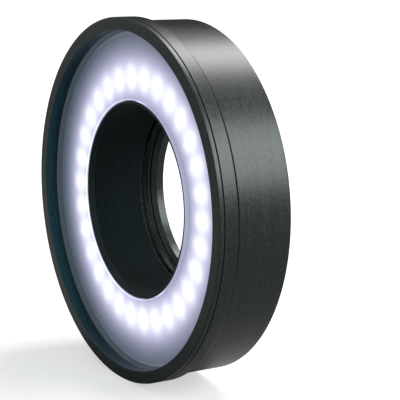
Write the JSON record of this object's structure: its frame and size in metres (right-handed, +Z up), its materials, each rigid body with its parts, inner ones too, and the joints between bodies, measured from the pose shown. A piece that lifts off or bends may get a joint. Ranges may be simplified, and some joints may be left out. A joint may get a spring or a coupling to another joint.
{
  "type": "macro ring light",
  "caption": "Lens-mounted macro ring light: drum housing, screw-on front bezel, recessed annular window over a circle of diodes, ridged central bore, rear lens-thread adapter and controls.",
  "frame": {"origin": "centre of the lens seat, where the adapter's threaded spigot leaves its shoulder", "axes": "+Y along the optical axis towards the lens and camera, so the lit front faces -Y; +Z up; +X to the right seen from the front of the picture's view"},
  "size_m": [0.145, 0.0446, 0.145],
  "materials": {
    "anodised": "satin black anodised",
    "baffle_black": "matt black anodised",
    "plain_aluminium": "machined",
    "dark_steel": "black oxide",
    "steel": "nickel plated",
    "brass": "bright",
    "rubber": "matt",
    "window": "frosted clear acrylic",
    "film": "matt diffuser, lit",
    "phosphor": "clear silicone over phosphor",
    "white_plastic": "moulded",
    "black_plastic": "moulded",
    "white_board": "white solder mask",
    "green_board": "green solder mask",
    "wire": "vinyl insulation"
  },
  "bodies": {
    "housing": {"housing": "anodised", "diffuser_film": "film", "reflector_tray": "white_plastic", "led_board": "white_board", "led_bases": "white_plastic", "led_domes": "phosphor", "board_screws": "steel", "heat_spreader": "plain_aluminium", "spreader_screws": "steel", "rear_cover": "anodised", "cover_screws": "dark_steel", "baffle_tube": "baffle_black", "tube_nut": "anodised", "adapter_clip": "dark_steel", "adapter_washer": "steel", "driver_board": "green_board", "driver_standoffs": "brass", "driver_screws": "steel", "inductor": "black_plastic", "capacitors": "plain_aluminium", "driver_chips": "black_plastic", "wire_headers": "white_plastic", "led_wires": "wire", "inlet_wires": "wire", "switch_wires": "wire", "dimmer_wires": "wire", "dimmer_pot": "plain_aluminium", "dimmer_nut": "steel", "switch_body": "black_plastic", "switch_ring": "steel", "button_spring": "steel", "inlet_jack": "black_plastic", "inlet_nut": "steel", "inlet_pin": "brass"},
    "window": {"window": "window", "bezel_gasket": "rubber"},
    "bezel": {"front_bezel": "anodised", "window_clip": "dark_steel"},
    "adapter": {"adapter_ring": "anodised"},
    "dimmer": {"dimmer_shaft": "steel", "dimmer_knob": "anodised", "knob_screw": "dark_steel"},
    "button": {"power_button": "black_plastic"}
  },
  "joints": [
    {"name": "window_slide", "type": "slide", "parent": "housing", "child": "window", "axis": [0, -1, 0], "range_m": [0, 0.00376]},
    {"name": "bezel_turn", "type": "hinge", "parent": "window", "child": "bezel", "pos_m": [0, 0, 0], "axis": [0, -1, 0], "range_deg": [0, 900]},
    {"name": "adapter_turn", "type": "hinge", "parent": "housing", "child": "adapter", "pos_m": [0, 0, 0], "axis": [0, 1, 0], "continuous": true},
    {"name": "dimmer_turn", "type": "hinge", "parent": "housing", "child": "dimmer", "pos_m": [-0.05695, 0, 0], "axis": [0, 1, 0], "range_deg": [-150, 150]},
    {"name": "button_press", "type": "slide", "parent": "housing", "child": "button", "axis": [0, -1, 0], "range_m": [0, 0.0015], "stiffness_N_per_m": 800, "deforming": ["button_spring"]}
  ],
  "couplings": [
    {"joint": "window_slide", "follows": "bezel_turn", "m_per_rad": 0.00023873}
  ]
}
